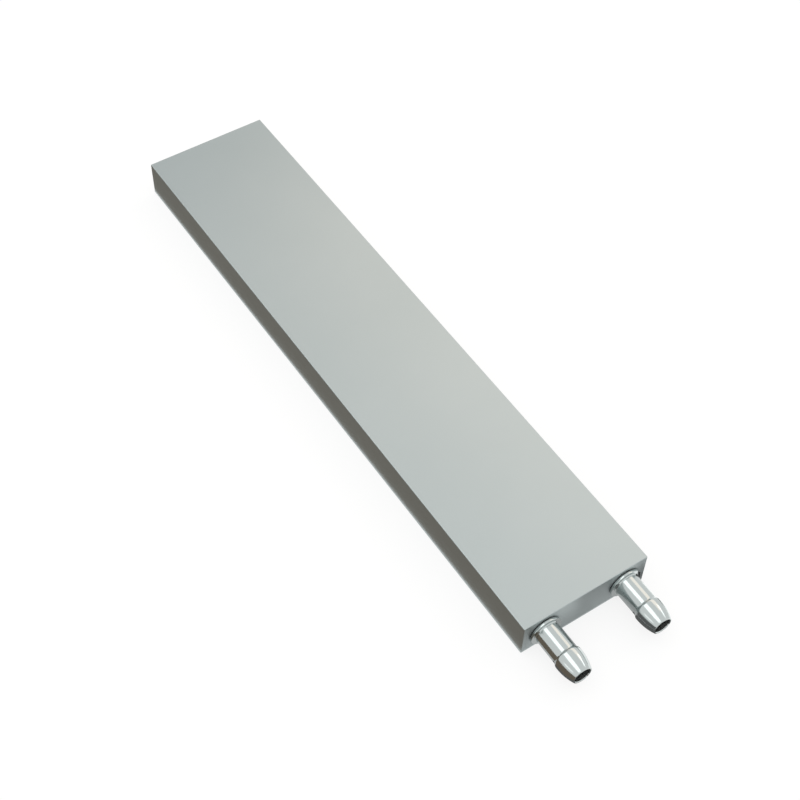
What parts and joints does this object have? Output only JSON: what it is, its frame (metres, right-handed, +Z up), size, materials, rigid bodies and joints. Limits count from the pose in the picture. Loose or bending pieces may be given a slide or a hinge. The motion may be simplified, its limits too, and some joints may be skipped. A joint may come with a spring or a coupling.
{
  "type": "cooling block",
  "caption": "Flat aluminium liquid cooling block with a finned U-shaped coolant channel inside and turned hose nozzles side by side on one end.",
  "frame": {"origin": "centre of the block's bottom face", "axes": "+X across the block, +Y along it away from the nozzles, +Z up out of the bottom face"},
  "size_m": [0.04, 0.216, 0.012],
  "materials": {
    "blasted_aluminium": "fine blasted and clear anodised, matte",
    "turned_aluminium": "bright turned",
    "seal_rubber": "black, smooth"
  },
  "bodies": {
    "root": {"channel_body": "blasted_aluminium", "front_end_plate": "blasted_aluminium", "rear_end_plate": "blasted_aluminium", "inlet_nozzle": "turned_aluminium", "outlet_nozzle": "turned_aluminium", "inlet_seal_ring": "seal_rubber", "outlet_seal_ring": "seal_rubber"}
  },
  "joints": []
}
